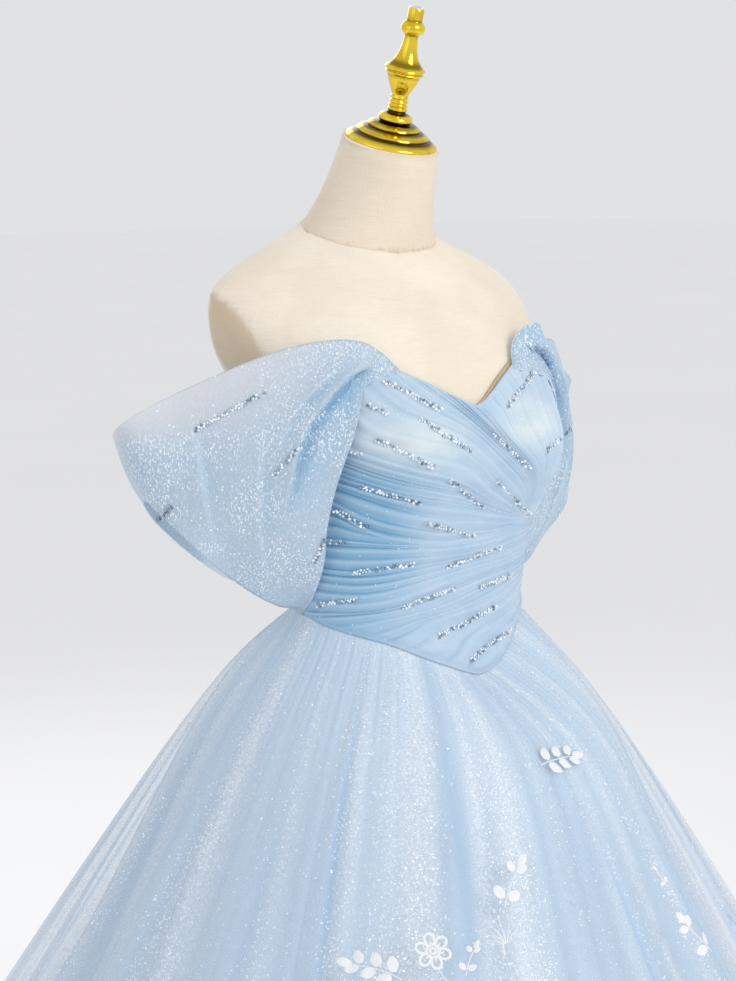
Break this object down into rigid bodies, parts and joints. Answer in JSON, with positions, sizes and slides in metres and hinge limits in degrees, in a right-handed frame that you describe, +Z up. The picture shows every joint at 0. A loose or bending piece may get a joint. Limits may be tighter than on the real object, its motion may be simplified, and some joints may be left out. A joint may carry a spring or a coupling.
{
  "type": "ball gown on a dress form",
  "caption": "Pale blue off-the-shoulder ball gown with a pleated bodice, draped sleeves and a full layered tulle skirt, on a limbless linen dress form with a gold finial.",
  "frame": {"origin": "centre of the underside of the stand's round foot", "axes": "+Z up, the gown's front faces -Y, the wearer's left is +X"},
  "size_m": [1.4013, 1.4083, 1.6242],
  "materials": {
    "linen": "cream linen, matt",
    "gold": "gold plated, mirror-bright",
    "stand_gold": "gold plated, bright",
    "bodice_blue": "pleated matt tulle",
    "under_blue": "glittery tulle over lining",
    "overlay_blue": "sheer tulle",
    "sleeve_blue": "glittery sheer tulle"
  },
  "bodies": {
    "root": {"form_torso": "linen", "form_neck": "linen", "form_neck_cap": "gold", "form_finial": "gold", "stand_base": "stand_gold", "stand_pole": "stand_gold", "bodice_front_upper": "bodice_blue", "bodice_front_lower": "bodice_blue", "bodice_back_left": "bodice_blue", "bodice_back_right": "bodice_blue", "skirt_under_front": "under_blue", "skirt_under_back_left": "under_blue", "skirt_under_back_right": "under_blue", "skirt_overlay_front": "overlay_blue", "skirt_overlay_back_left": "overlay_blue", "skirt_overlay_back_right": "overlay_blue", "sleeve_left": "sleeve_blue", "sleeve_right": "sleeve_blue"}
  },
  "joints": []
}
